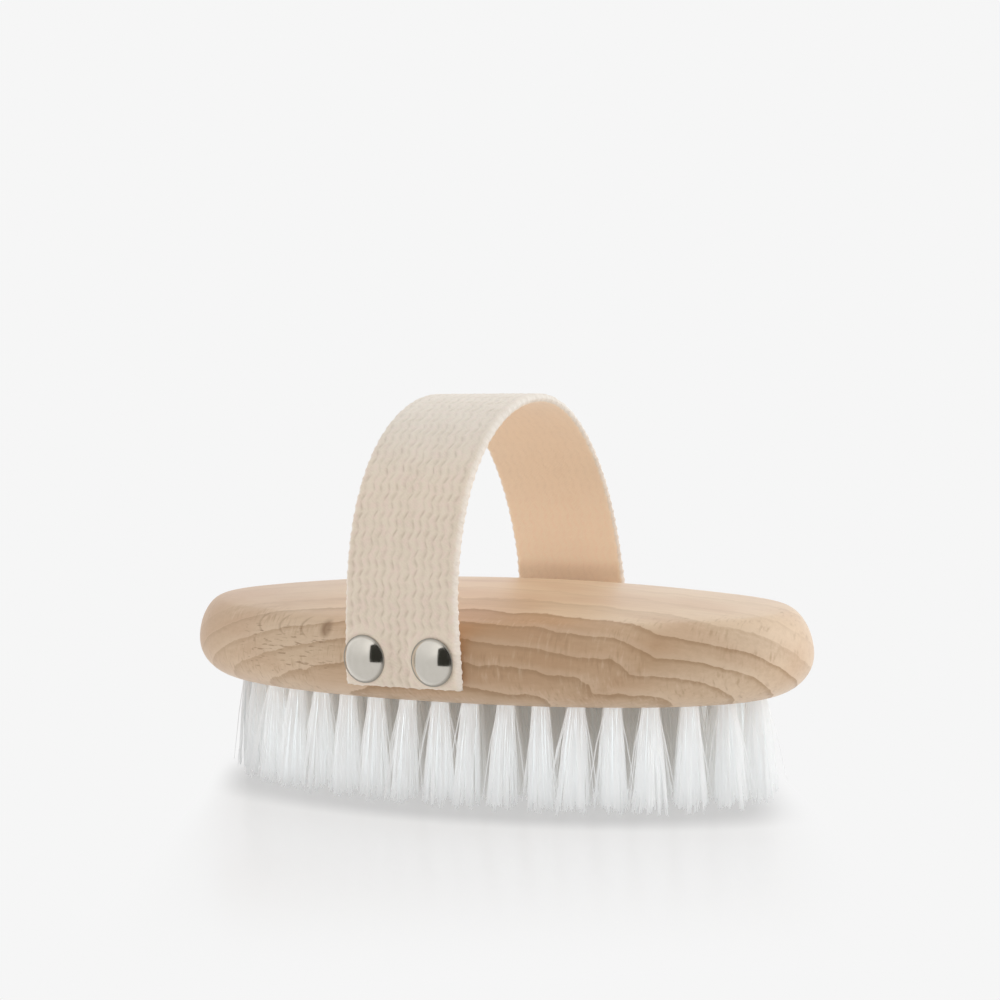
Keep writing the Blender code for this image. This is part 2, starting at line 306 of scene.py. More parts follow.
def new_finish(name, **constants):
    """A material with its shader's fixed values, the shader, and the wire its pattern starts from."""
    finish = bpy.data.materials.new(name)
    finish.use_nodes = True
    shader = finish.node_tree.nodes["Principled BSDF"]
    for socket, value in constants.items():
        shader.inputs[socket.replace("_", " ")].default_value = value
    return finish, shader, Wire(finish.node_tree, None)


def plug(wire, shader, socket):
    """Links a wire to one of the shader's sockets."""
    wire.tree.links.new(wire.outlet, shader.inputs[socket])


# The pattern is worked out in mm. Growth rings are a count that rises across the wood, so many to the mm
# along the brush, across it and upwards. They bend into low arches, and dip and kink at the front right.
MM = 1000
RINGS_ALONG = -0.0082
RINGS_ACROSS = 0.104
RINGS_UP = 0.214
RINGS_BEND = 0.0003
RINGS_START = -6.11
RINGS_WANDER = 0.55
RINGS_TREMOR = 0.13
OUT_ACROSS = 0.44
OUT_UP = 0.9
DIP_PLACE = 49.8
DIP_HEIGHT = 31.3
DIP_SLANT = 1.72
DIP_BEFORE = 8
DIP_AFTER = 17
DIP_CURVE = 1.3
DIP_DEPTH = 0.42
KNOT_PLACE = (-20.5, 35.4)
KNOT_ARCHES = 6.2
PALE_WOOD = (0.695, 0.522, 0.357, 1)
ROSY_WOOD = (0.645, 0.456, 0.303, 1)
SHADE_TAN_WOOD = (0.47, 0.265, 0.133, 1)
LATE_WOOD = (0.38, 0.23, 0.118, 1)
SILVER_AND_LIT_WOOD = (0.76, 0.59, 0.435, 1)
FLECK_WOOD = (0.25, 0.135, 0.06, 1)
beech, shader, start = new_finish("oiled_beech", IOR=1.5)
along, across, up = start.node("TexCoord", outlet="Object").split()
along = along * MM
across = across * MM
up = up * MM
outwards = across * OUT_ACROSS + up * OUT_UP
sideways = across * OUT_UP - up * OUT_ACROSS

# The rings, and the share of the way from each dark line to the next.
wander = (along / 30).joined(outwards / 24, sideways / 16).noise(1.0)
ripple = (along / 7).joined(outwards / 9, sideways / 9).noise(2.0, 0.5)
tremor = (along / 1.1).joined(outwards / 3, sideways / 2.5).noise(2.0, 0.6)
rings = along * RINGS_ALONG + across * RINGS_ACROSS + up * RINGS_UP + along * along * RINGS_BEND
rings = rings + RINGS_START + (wander - 0.5) * RINGS_WANDER + (tremor - 0.5) * RINGS_TREMOR
rings = rings + (ripple - 0.5) * (along.smooth(-50, -10) * 0.26 + 0.24)
past_dip = along + (DIP_HEIGHT - up).math("MAXIMUM", 0.0) * DIP_SLANT - DIP_PLACE
dip = (past_dip / DIP_BEFORE + 1).math("MINIMUM", 1 - past_dip / DIP_AFTER)
dip = dip.math("MAXIMUM", 0.0) ** DIP_CURVE
dip = dip * (1 - up.smooth(36.0, 38.5)) * (1 - across.smooth(-16, -6))
rings = rings + dip * DIP_DEPTH
share = rings.math("FRACT")

# Late wood darkens slowly towards each line and ends sharply behind it, more in some years.
year = start.node("TexWhiteNoise", {"noise_dimensions": "1D"}, {"W": rings.math("FLOOR")})
late = share**1.5 * 0.58 + share.smooth(0.72, 0.95) * 0.52
late = late * (1 - share.smooth(0.97, 1.0)) * (year * 0.35 + 0.65)
late = late * (1 - rings.smooth(0.5, 1.1) * 0.8) * (1 - along.smooth(-4, -44) * 0.45)

# Long fibres, cross streaks of silver grain in patches, and short dark pores at the left.
fibres = (along / 5.0).joined(outwards / 0.25, sideways / 0.25).noise(2.0, 0.6)
grain = (along / 9.0).joined(outwards / 0.8, sideways / 0.8).noise(3.0, 0.6)
cloud = (along / 24).joined(outwards / 9, sideways / 9).noise(1.0)
silver_patch = (along / 16).joined(outwards / 6, sideways / 8).noise(1.0).smooth(0.38, 0.60)
silver_patch = silver_patch * (1 - up.smooth(37.5, 39.0))
silver = (along / 0.62).joined(outwards / 3.4, sideways / 1.6).noise(1.5, 0.6)
dash_patch = along.smooth(-8, -20) * along.smooth(-54, -38) * (up.smooth(24, 28) * 0.7 + 0.3)
dashes = (along / 2.6).joined(across / 1.6, up / 0.42).noise(1.5, 0.55)
dashes = (dashes + (dash_patch - 1) * 0.20).smooth(0.59, 0.70) * (1 - up.smooth(34.0, 36.5))

# A small knot beside the strap, with a row of little arches in the wood round it.
knot_x, knot_z = KNOT_PLACE
above_knot = up - knot_z
arches = ((along - knot_x - above_knot * above_knot * 0.55) / KNOT_ARCHES).math("FRACT")
arches = arches.smooth(0.80, 0.93) * (1 - arches.smooth(0.93, 1.0))
arches = arches * (1 - above_knot.math("ABSOLUTE").smooth(1.2, 2.3)) * along.smooth(-46, -38)
arches = arches * (1 - along.smooth(-24, -18)) * (1 - across.smooth(-20, -12))
knot = (along - knot_x).joined(above_knot * 0.9, (across + 30) * 0.3)
knot = start.node("VectorMath", {"operation": "LENGTH"}, {0: knot}, "Value")

# The colours: browner below the first ring and darker across the front's middle, with painted light
# towards its foot; painted shade darkens the top's left part and the left end, and a painted highlight
# pales the right end.
side = rings.smooth(0.07, -0.07)
# Darker across the front's middle, less so towards its foot, which is painted light.
middle = (along - 20).math("ABSOLUTE").smooth(46, 4) * (up.smooth(20, 31) * 0.75 + 0.25)
# Browner below the first ring, and painted shade over the top's left part.
shade_and_tan = side * (middle * 0.67 + 0.08) + (1 - side) * along.smooth(-14, -44) * 0.22
# Painted shade at the left end, and a reddish patch where the rings dip.
shade_and_tan = shade_and_tan + along.smooth(-40, -62) * 0.38 + dip * dip * 0.2
early = (1 - share.smooth(0.02, 0.40)) * side
dark = late + (fibres - 0.5) * 0.15 + (grain - 0.5) * 0.5
flecks = dashes * 0.55 + arches * 0.34 + (1 - knot.smooth(0.6, 2.1)) * 0.62
colour = cloud.smooth(0.35, 0.65).blend(PALE_WOOD, ROSY_WOOD)
colour = shade_and_tan.blend(colour, SHADE_TAN_WOOD)
# Painted highlight: the right end is paler.
colour = (along.smooth(48, 68) * 0.30).blend(colour, SILVER_AND_LIT_WOOD)
colour = (early * 0.22).blend(colour, SILVER_AND_LIT_WOOD)
colour = dark.math("MAXIMUM", 0.0).blend(colour, LATE_WOOD)
colour = (silver.smooth(0.52, 0.78) * silver_patch * 0.30).blend(colour, SILVER_AND_LIT_WOOD)
colour = (silver.smooth(0.47, 0.25) * silver_patch * 0.44).blend(colour, LATE_WOOD)
plug(flecks.blend(colour, FLECK_WOOD), shader, "Base Color")
plug(fibres * 0.12 + 0.32 + late * 0.06, shader, "Roughness")
relief = fibres * 0.6 - dashes * 0.5 + silver * 0.15
plug(relief.bump(0.35, 0.00006), shader, "Normal")
back.data.materials.clear()
back.data.materials.append(beech)
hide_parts("beech_block")
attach(back, "root")

# The tufts
# Bundles of white nylon filament, each folded over and anchored in its bore so that it stands as one
# round brushful, trimmed level at the tips. They are set in three oval rings and a row along the middle.
STRANDS = 168
STRAND_RADIUS = 0.000112
THINNEST = 0.88
THICKEST = 1.1
TIP_THICKNESS = 0.5
STRAND_STOPS = (0.0, 0.42, 1.0)
STRAND_CURVE = 0.84
STRAND_BOW = 0.0001
STRAND_UNEVEN = 0.00015
TRIM_UNEVEN = 0.00055
TUFT_HOLD = 0.0030
TUFT_FLARE = 2.02
FLARE_UNEVEN = 0.12
TUFT_UNLIKE = 0.00032
SIDE_LEAN = 0.0026
END_LEAN = 0.0004
LOCKS = 17
LOCK_PULL = 0.72
LOCK_LIFT = 0.0017
LOCK_LIFT_CURVE = 1.6
LOCK_UNEVEN = 0.00025
STRAY_SHARE = 0.085
STRAY_REACH = (0.0003, 0.0027)
STRAY_LIFT = 0.0016


def tuft_foot(place):
    """Where a tuft's middle meets the floor: the outer tufts lean outwards."""
    return Vector((place.x * (1 + END_LEAN / RING_LENGTH), place.y * (1 + SIDE_LEAN / RING_WIDTH)))


def small_step(chance, size):
    """A random step to any side."""
    return Vector((chance.gauss(0, size), chance.gauss(0, size)))


def sunflower(index, count, radius):
    """One of count places that fill a circle evenly."""
    reach = radius * math.sqrt((index + 0.5) / count)
    turn = index * math.pi * (3 - math.sqrt(5))
    return Vector((reach * math.cos(turn), reach * math.sin(turn)))


def add_strand(bundle, points, thickness):
    """One filament as a line of the bundle, narrowing a little at its tip."""
    line = bundle.splines.new("POLY")
    line.points.add(len(points) - 1)
    for point, place in zip(line.points, points):
        point.co = (*place, 1)
        point.radius = thickness
    line.points[-1].radius = TIP_THICKNESS * thickness


def add_tuft(bundle, place, chance):
    """A tuft's filaments: most spread evenly in small locks, and a few stray far out to the side."""
    foot = tuft_foot(place) + small_step(chance, TUFT_UNLIKE)
    hold = TUFT_DIAMETER / 2 - STRAND_RADIUS
    flare = TUFT_FLARE * chance.uniform(1 - FLARE_UNEVEN, 1 + FLARE_UNEVEN)
    turned = Matrix.Rotation(chance.uniform(0, 2 * math.pi), 2)
    locks = []
    for lock in range(LOCKS):
        middle = turned @ sunflower(lock, LOCKS, hold * flare) + small_step(chance, LOCK_UNEVEN)
        locks.append((middle, LOCK_LIFT * chance.random() ** LOCK_LIFT_CURVE))
    for index in range(STRANDS):
        root = turned @ sunflower(index, STRANDS, hold)
        spread = root * flare
        lock, lift = min(locks, key=lambda each: (each[0] - spread).length)
        tip = spread.lerp(lock, LOCK_PULL) + small_step(chance, STRAND_UNEVEN)
        height = lift + abs(chance.gauss(0, TRIM_UNEVEN))
        if chance.random() < STRAY_SHARE:
            tip += root.normalized() * chance.uniform(*STRAY_REACH)
            height += chance.uniform(0, STRAY_LIFT)
        bow = small_step(chance, STRAND_BOW)
        points = [(*(place + root), UNDERSIDE + TUFT_HOLD)]
        for stop in STRAND_STOPS:
            run = (foot - place + tip - root) * stop**STRAND_CURVE
            sway = bow * math.sin(math.pi * stop)
            points.append((*(place + root + run + sway), UNDERSIDE + (height - UNDERSIDE) * stop))
        add_strand(bundle, points, chance.uniform(THINNEST, THICKEST))


# The filament is painted a little darker inside the rings and greyer at the brush's ends, as painted
# shade. It has a painted glow for the light that it passes on, strongest in the outer ring and weaker at
# the ends and near the tips.
SOFT_WHITE = (0.94, 0.947, 0.947, 1)
BRIGHT_WHITE = (0.978, 0.982, 0.984, 1)
SHADED_END_WHITE = (0.90, 0.905, 0.905, 1)
SHADED_INNER_WHITE = (0.952, 0.95, 0.943, 1)
INNER_PAINTED_GLOW = (0.25, 0.25, 0.24, 1)
OUTER_PAINTED_GLOW = (0.955, 0.975, 0.99, 1)
NYLON_PAINTED_GLOW = 0.078
STREAKS_ACROSS = 2600
STREAKS_UP = 90
nylon, shader, start = new_finish("white_nylon", IOR=1.5, Emission_Strength=NYLON_PAINTED_GLOW)
along, across, up = start.node("TexCoord", outlet="Object").split()
streaks = (along * STREAKS_ACROSS).joined(across * STREAKS_ACROSS, up * STREAKS_UP).noise(0.0)
ring_along = along / RING_LENGTH
ring_across = across / RING_WIDTH
outer = (ring_along * ring_along + ring_across * ring_across).smooth(0.35, 1.10)
ends = ring_along.smooth(-0.70, -1.02) + ring_along.smooth(0.80, 1.05) * 0.35
white = streaks.smooth(0.25, 0.75).blend(SOFT_WHITE, BRIGHT_WHITE)
# Painted shade: greyer at the brush's ends.
white = ends.blend(white, SHADED_END_WHITE)
# Painted shade: a little darker inside the rings than in the outer ring.
plug(outer.blend(SHADED_INNER_WHITE, white), shader, "Base Color")
# Painted glow, weaker at the ends and near the tips.
painted_glow = outer * outer * (1 - ends * 0.65) * (1 - up.smooth(0.005, 0.0) * 0.5)
plug(painted_glow.blend(INNER_PAINTED_GLOW, OUTER_PAINTED_GLOW), shader, "Emission Color")
plug(streaks * 0.12 + 0.36, shader, "Roughness")

chance = random.Random(7)
for number, group in enumerate(tufts):
    node = f"bristle_ring_{number + 1}" if number < TUFT_RINGS else "bristle_middle_row"
    bundle = bpy.data.curves.new("nylon_" + node, "CURVE")
    bundle.dimensions = "3D"
    bundle.bevel_depth = STRAND_RADIUS
    bundle.bevel_resolution = 0
    bundle.use_fill_caps = True
    for place in group:
        add_tuft(bundle, place, chance)
    piece = bpy.data.objects.new("nylon_" + node, bundle)
    bpy.context.scene.collection.objects.link(piece)
    bpy.ops.object.select_all(action="DESELECT")
    piece.select_set(True)
    bpy.context.view_layer.objects.active = piece
    bpy.ops.object.convert(target="MESH")
    piece = bpy.context.object
    bpy.ops.object.shade_flat()
    piece.data.materials.clear()
    piece.data.materials.append(nylon)
    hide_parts(node)
    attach(piece, "root")

# The strap
# A length of undyed cotton webbing with a zigzag rib, cut raw at both ends. It arches over the back as a
# loop for the hand and hugs the block's long sides, where the nails hold it.
STRAP_LOW, STRAP_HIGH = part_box("hand_strap")
STRAP_WIDTH = STRAP_HIGH.x - STRAP_LOW.x
STRAP_THICKNESS = 0.0018
STRAP_GAP = 0.00012
STRAP_END = STRAP_LOW.z
STRAP_MIDDLE = HALF_WIDTH + STRAP_GAP + STRAP_THICKNESS / 2
ARCH_FOOT = WIDEST + UPPER_ROUND_UP / 2
ARCH_TOP = STRAP_HIGH.z - STRAP_THICKNESS / 2
ARCH_POWER = 2.06
ARCH_LEAN = 0.18
ARCH_STEPS = 720
END_SPREAD = 0.042
END_REACH = 0.017
END_RAGGED = 0.00042
END_FRAY = 0.00022
END_THIN = 0.72
END_FLAT = 0.4
RIBS = 14
RIB_PROFILE = (0.0, 0.45, 0.85, 1.0, 0.85, 0.45)
RIB_HEIGHT = 0.00028
RIB_SINK = 0.00012
RIB_REST = 0.62
RIB_INSIDE = 0.2
ROW_LENGTH = 0.00034
FLOAT_LENGTH = 0.0019
FLOAT_LEAN = 0.00032
FLOAT_UNEVEN = 0.55
FLOAT_STRENGTH = 0.74
FLOAT_UNLIKE = 0.9
WEAKEST_FLOAT = 0.2
YARN_WANDER = 0.00030
SELVEDGE = 0.0022
SELVEDGE_BULGE = 0.00042
EDGE_ROUND = 0.0010
EDGE_LEAST = 0.02
NAIL_HEAD_RADIUS = 0.00475
NAIL_BOXES = [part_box(node) for node in NAIL_NODES]
NAIL_SWELL = 0.00075
NAIL_CLEAR = 0.0001
NAIL_PRESS = 0.0022


def arch_line():
    """The strap's middle line: each point's way from the start, and its place, outward side and hug.

    A place is a (y, z) pair. The hug is 1 where the strap follows the block's long side and 0 on top.
    """
    rise = ARCH_TOP - ARCH_FOOT
    places = [Vector((-STRAP_MIDDLE, STRAP_END))]
    hugs = [1.0]
    for step in range(ARCH_STEPS + 1):
        turn = math.pi * step / ARCH_STEPS
        power = 2 / (ARCH_POWER + ARCH_LEAN * math.cos(turn))
        across = math.copysign(abs(math.cos(turn)) ** power, math.cos(turn))
        places.append(Vector((-STRAP_MIDDLE * across, ARCH_FOOT + rise * abs(math.sin(turn)) ** power)))
        hugs.append((1 - math.sin(turn)) ** 2)
    places.append(Vector((STRAP_MIDDLE, STRAP_END)))
    hugs.append(1.0)
    travelled = [0.0]
    line = []
    for index, place in enumerate(places):
        run = places[min(index + 1, len(places) - 1)] - places[max(index - 1, 0)]
        line.append((place, Vector((-run.y, run.x)).normalized(), hugs[index]))
        if index:
            travelled.append(travelled[-1] + (place - places[index - 1]).length)
    return travelled, line


def side_fall_back(along):
    """How far the block's long side lies inside its widest point, at a distance from the middle."""
    return HALF_WIDTH * (1 - (1 - abs(along / HALF_LENGTH) ** OVAL_POWER) ** (1 / OVAL_POWER))


def on_arch(along, travel, out):
    """The place on the bent strap of a point of the flat one."""
    index = min(max(bisect.bisect(travelled, travel) - 1, 0), len(travelled) - 2)
    part = (travel - travelled[index]) / (travelled[index + 1] - travelled[index])
    (start, out_start, hug_start), (end, out_end, hug_end) = arch[index], arch[index + 1]
    within = min(max(part, 0), 1)
    hug = hug_start + (hug_end - hug_start) * within
    place = start.lerp(end, part) + out * out_start.lerp(out_end, within).normalized()
    tuck = math.copysign(hug * side_fall_back(along), -place.x)
    return Vector((along, place.x + tuck, place.y))


travelled, arch = arch_line()
strap_length = travelled[-1]
rows = round(strap_length / ROW_LENGTH)
lanes = RIBS * len(RIB_PROFILE)


def eased(share):
    """A share from 0 to 1, with an even start and end."""
    return share * share * (3 - 2 * share)


def uneven(*place):
    """Even noise about 0 at a place."""
    return noise.noise(Vector(place))


def press(along, travel):
    """How much of the webbing's relief is left near a nail's head, which squeezes it flat."""
    left = 1.0
    for low, high in NAIL_BOXES:
        middle = (low + high) / 2
        height = middle.z - STRAP_END
        nail_travel = height if middle.y < 0 else strap_length - height
        reach = math.hypot(along - middle.x, travel - nail_travel)
        share = min(max((reach - NAIL_HEAD_RADIUS - NAIL_CLEAR) / NAIL_PRESS, 0), 1)
        left = min(left, eased(share))
    return left


def webbing_point(lane, row, face):
    """A point of the webbing's outer (1) or inner (-1) face, bent and ribbed, and its groove's depth."""
    rib, slot = divmod(lane, len(RIB_PROFILE))
    flat_along = STRAP_WIDTH * (lane / lanes - 0.5)
    travel = strap_length * row / rows
    end = min(travel, strap_length - travel)
    from_edge = STRAP_WIDTH / 2 - abs(flat_along)
    inner = min(from_edge / SELVEDGE, 1)
    floats = travel / FLOAT_LENGTH + FLOAT_UNEVEN * uneven(lane * 0.13, travel * 70, 4.2)

    # The yarn swings to and fro, and at the edges it turns back in small loops.
    along = flat_along * (1 + END_SPREAD * max(1 - end / END_REACH, 0) ** 0.7)
    along += FLOAT_LEAN * inner * (eased(2 * abs(floats / 2 % 1 - 0.5)) - 0.5) * 2
    along += YARN_WANDER * inner * uneven(lane * 0.31, travel * 260, 1.7)
    loop = math.sin(math.pi * (floats + 0.5 * (flat_along > 0))) ** 2
    along += math.copysign(SELVEDGE_BULGE * (1 - inner) * (loop - 0.3), flat_along)

    # Each float stands up between its neighbours' ends, some more than others.
    full = abs(math.sin(math.pi * floats)) ** 0.6
    strong = FLOAT_STRENGTH + FLOAT_UNLIKE * uneven(rib * 5.3, math.floor(floats) * 2.7, 9.0)
    full *= min(max(strong, WEAKEST_FLOAT), 1)
    groove = (1 - RIB_PROFILE[slot]) ** 1.4 * full
    height = (RIB_REST * (1 - full) + RIB_PROFILE[slot] * full) * RIB_HEIGHT
    if face > 0:
        pressed = press(flat_along, travel)
        height = height * pressed + NAIL_SWELL * (1 - pressed)
        groove *= pressed
    else:
        height *= RIB_INSIDE

    # The edges are round, and the cut ends ragged and thin.
    rounding = min(from_edge / EDGE_ROUND, 1)
    body = STRAP_THICKNESS / 2 * math.sqrt(max(1 - (1 - rounding) ** 2, EDGE_LEAST))
    if end < TOUCHING:
        ragged = END_RAGGED * uneven(flat_along * 430, face * 0.4, travel)
        ragged += END_FRAY * (RIB_PROFILE[slot] - 0.6)
        travel += math.copysign(ragged, travel - strap_length / 2)
        body *= END_THIN
        height *= END_FLAT
    return on_arch(along, travel, face * (body - RIB_SINK + height * rounding)), groove


# A flat strip with a point for each step of each rib, whose points are then moved to their bent places.
bpy.ops.mesh.primitive_grid_add(x_subdivisions=lanes, y_subdivisions=rows, size=1)
strap = start_piece("webbing_strap")
bpy.ops.mesh.select_all(action="SELECT")
bpy.ops.transform.resize(value=(STRAP_WIDTH, strap_length, 1))
bpy.ops.mesh.extrude_region_move(TRANSFORM_OT_translate={"value": (0, 0, -STRAP_THICKNESS)})
bpy.ops.object.mode_set(mode="OBJECT")
mesh = strap.data
weave = mesh.uv_layers[0]
weave.name = "weave"
inside = mesh.attributes.new("inside", "FLOAT", "POINT")
grooves = mesh.attributes.new("groove", "FLOAT", "POINT")
keys = []
for point in mesh.vertices:
    lane = round((point.co.x / STRAP_WIDTH + 0.5) * lanes)
    row = round((point.co.y / strap_length + 0.5) * rows)
    keys.append((lane, row, 1 if point.co.z > -STRAP_THICKNESS / 2 else -1))
for loop in mesh.loops:
    lane, row, _ = keys[loop.vertex_index]
    weave.data[loop.index].uv = (lane / lanes, row / rows)
for point, (lane, row, face) in zip(mesh.vertices, keys):
    point.co, groove = webbing_point(lane, row, face)
    grooves.data[point.index].value = groove
    edge = min(lane, lanes - lane)
    inside.data[point.index].value = 1.0 if face < 0 and edge > 1 else 0.0
bpy.ops.object.mode_set(mode="EDIT")
bpy.ops.mesh.select_all(action="SELECT")
bpy.ops.mesh.normals_make_consistent(inside=False)
bpy.ops.object.mode_set(mode="OBJECT")
bpy.ops.object.shade_smooth()

# The cotton is cream outside and rosy in blotches, with painted shade in its grooves and painted light
# that whitens the top of the arch. Inside it is painted warmer and given a faint painted glow, both
# standing for the light that comes through.
OUTER_COTTON = (0.868, 0.748, 0.605, 1)
SHADE_AND_MOTTLE_COTTON = (0.50, 0.40, 0.295, 1)
ROSY_COTTON = (0.885, 0.73, 0.612, 1)
INNER_LIT_COTTON = (0.96, 0.81, 0.64, 1)
SELVEDGE_COTTON = (0.90, 0.82, 0.735, 1)
TOP_LIGHT_COTTON = (0.76, 0.735, 0.68, 1)
PAINTED_THROUGH_GLOW = (1.0, 0.78, 0.58, 1)
COTTON_PAINTED_GLOW = 0.11
cotton, shader, start = new_finish(
    "undyed_cotton", Sheen_Weight=0.34, Sheen_Roughness=0.5, Emission_Strength=COTTON_PAINTED_GLOW
)
flat_across, flat_along, _ = start.node("UVMap", {"uv_map": "weave"}).split()
lane = flat_across * RIBS
travel = flat_along * (strap_length * MM)
groove = start.node("Attribute", {"attribute_name": "groove"}, outlet="Fac")
inner = start.node("Attribute", {"attribute_name": "inside"}, outlet="Fac")
yarn = (lane * 14 + travel * 9).math("SINE") * 0.5 + 0.5
fuzz = (lane * 5).joined(travel * 2.2, 0.0).noise(3.0, 0.7)
blotch = (lane * 1.1).joined(travel * 0.55, 5.0).noise(1.0)
cloud = (lane * 0.5).joined(travel * 0.16, 3.0).noise(1.0)
edge = (flat_across - 0.5).math("ABSOLUTE").smooth(0.462, 0.492)
cream = blotch.smooth(0.4, 0.7).blend(OUTER_COTTON, ROSY_COTTON)
# Painted shade in the grooves between the ribs.
cream = (groove * 0.46).blend(cream, SHADE_AND_MOTTLE_COTTON)
cream = (edge * 0.8).blend(cream, SELVEDGE_COTTON)
height = start.node("TexCoord", outlet="Object").split()[2]
# Painted light: whiter on top of the arch.
cream = (height.smooth(0.062, 0.079) * 0.5).blend(cream, TOP_LIGHT_COTTON)
# Inside: a warm colour of painted light coming through, with a little painted shade in the grooves.
tan = (groove * 0.10).blend(INNER_LIT_COTTON, SHADE_AND_MOTTLE_COTTON)
cream = inner.blend(cream, tan)
shade = (fuzz - 0.5) * 0.5 + yarn * 0.06 + (cloud - 0.5) * 0.3
cream = (shade.math("MAXIMUM", 0.0) * (1 - inner * 0.6)).blend(cream, SHADE_AND_MOTTLE_COTTON)
plug(cream, shader, "Base Color")
# A faint painted glow on the inner face from just above the block's height, weaker towards the top of
# the arch.
glow_band = height.smooth(0.0395, 0.0430) * (1 - height.smooth(0.046, 0.064) * 0.80)
plug((inner * glow_band).blend((0, 0, 0, 1), PAINTED_THROUGH_GLOW), shader, "Emission Color")
plug(fuzz * 0.1 + 0.84, shader, "Roughness")
nap = fuzz * 0.6 + yarn * 0.3
plug(nap.bump(0.5, 0.00012), shader, "Normal")
strap.data.materials.clear()
strap.data.materials.append(cotton)
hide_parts("hand_strap")
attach(strap, "root")

# The nails
# Upholstery nails of nickelled steel, a hollow dome on a round shank, driven through the webbing into
# the block's long sides. Each dome presses its rim into the cotton.
HEAD_HEIGHT = 0.0024
HEAD_WALL = 0.0005
HEAD_CREASE = 50
RIM_ROUND = 0.00016
RIM_TURNS = (25, -25, -75, -125, -175)
RIM_SHORT = 0.05
RIM_LINE = 0.0006
RIM_SHARPNESS = 1.6
SHANK_RADIUS = 0.0009
SHANK_LENGTH = 0.0160
POINT_LENGTH = 0.0030
DOME_STEPS = 20
HOLLOW_STEPS = 8
NAIL_SIDES = 64


def nail_line():
    """(radius, height) points from the dome's top round its rim, up the hollow and down to the point."""
    ball = (NAIL_HEAD_RADIUS**2 + HEAD_HEIGHT**2) / (2 * HEAD_HEIGHT)
    opening = math.asin(NAIL_HEAD_RADIUS / ball)
    line = []
    for step in range(DOME_STEPS + 1):
        turn = (opening - RIM_SHORT) * step / DOME_STEPS
        line.append((ball * math.sin(turn), HEAD_HEIGHT - ball * (1 - math.cos(turn))))
    rim_middle = NAIL_HEAD_RADIUS - RIM_ROUND
    for turn in map(math.radians, RIM_TURNS):
        line.append((rim_middle + RIM_ROUND * math.cos(turn), RIM_ROUND * (1 + math.sin(turn))))
    hollow = ball - HEAD_WALL
    middle = HEAD_HEIGHT - ball
    mouth = math.acos(-middle / hollow)
    for step in range(HOLLOW_STEPS, 1, -1):
        turn = mouth * step / HOLLOW_STEPS
        line.append((hollow * math.sin(turn), max(middle + hollow * math.cos(turn), 0)))
    line.append((SHANK_RADIUS, middle + math.sqrt(hollow**2 - SHANK_RADIUS**2)))
    line.append((SHANK_RADIUS, POINT_LENGTH - SHANK_LENGTH))
    line.append((0.0, -SHANK_LENGTH))
    return line


# One nail is spun from its outline, standing on its point, and copied to its four places.
bpy.ops.object.select_all(action="DESELECT")
bpy.ops.mesh.primitive_plane_add(size=HEAD_HEIGHT)
nail = start_piece("strap_nail")
bpy.ops.mesh.select_all(action="SELECT")
bpy.ops.mesh.merge(type="CENTER")
profile = nail_line()
bpy.ops.transform.translate(value=(profile[0][0], 0, profile[0][1]))
for (radius, height), (next_radius, next_height) in zip(profile, profile[1:]):
    move = (next_radius - radius, 0, next_height - height)
    bpy.ops.mesh.extrude_region_move(TRANSFORM_OT_translate={"value": move})
bpy.ops.mesh.select_all(action="SELECT")
bpy.ops.mesh.spin(steps=NAIL_SIDES, angle=2 * math.pi, center=(0, 0, 0), axis=(0, 0, 1))
bpy.ops.mesh.select_all(action="SELECT")
bpy.ops.mesh.remove_doubles(threshold=TOUCHING)
close_piece(HEAD_CREASE)
# The rim mark grows towards the dome's edge and places the painted shadow there.
rim = nail.data.attributes.new("rim", "FLOAT", "POINT")
for point in nail.data.vertices:
    past = math.hypot(point.co.x, point.co.y) - NAIL_HEAD_RADIUS + RIM_LINE
    rim.data[point.index].value = min(max(past / RIM_LINE * RIM_SHARPNESS, 0), 1)

BRIGHT_NICKEL = (0.752, 0.712, 0.642, 1)
PALE_NICKEL = (0.772, 0.732, 0.662, 1)
RIM_SHADE = (0.19, 0.165, 0.125, 1)
SMEARS = 900
SCRATCHES = 9000
nickel, shader, start = new_finish("polished_nickel", Metallic=1.0)
along, across, up = start.node("TexCoord", outlet="Object").split()
smears = (along * SMEARS).joined(across * SMEARS, up * SMEARS).noise(2.0)
scratches = (along * SCRATCHES).joined(across * SCRATCHES, up * SMEARS).noise(1.0)
bare = smears.smooth(0.3, 0.7).blend(BRIGHT_NICKEL, PALE_NICKEL)
rim_shade = start.node("Attribute", {"attribute_name": "rim"}, outlet="Fac")
# The rim is painted dark: a painted shadow where the dome meets the cotton.
plug((rim_shade * 0.64).blend(bare, RIM_SHADE), shader, "Base Color")
plug(smears * 0.05 + scratches * 0.03 + 0.09 + rim_shade * 0.2, shader, "Roughness")
plug(scratches.bump(0.06, 0.00002), shader, "Normal")
nail.data.materials.clear()
nail.data.materials.append(nickel)
for node in NAIL_NODES:
    low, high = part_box(node)
    middle = (low + high) / 2
    front = middle.y < 0
    seat = low.y + HEAD_HEIGHT if front else high.y - HEAD_HEIGHT
    piece = nail.copy()
    piece.data = nail.data.copy()
    piece.name = node.replace("strap_nail", "domed_nail")
    bpy.context.scene.collection.objects.link(piece)
    placed = Matrix.Translation((middle.x, seat, middle.z))
    piece.data.transform(placed @ Matrix.Rotation(math.pi / 2 if front else -math.pi / 2, 4, "X"))
    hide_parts(node)
    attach(piece, "root")
bpy.data.objects.remove(nail, do_unlink=True)

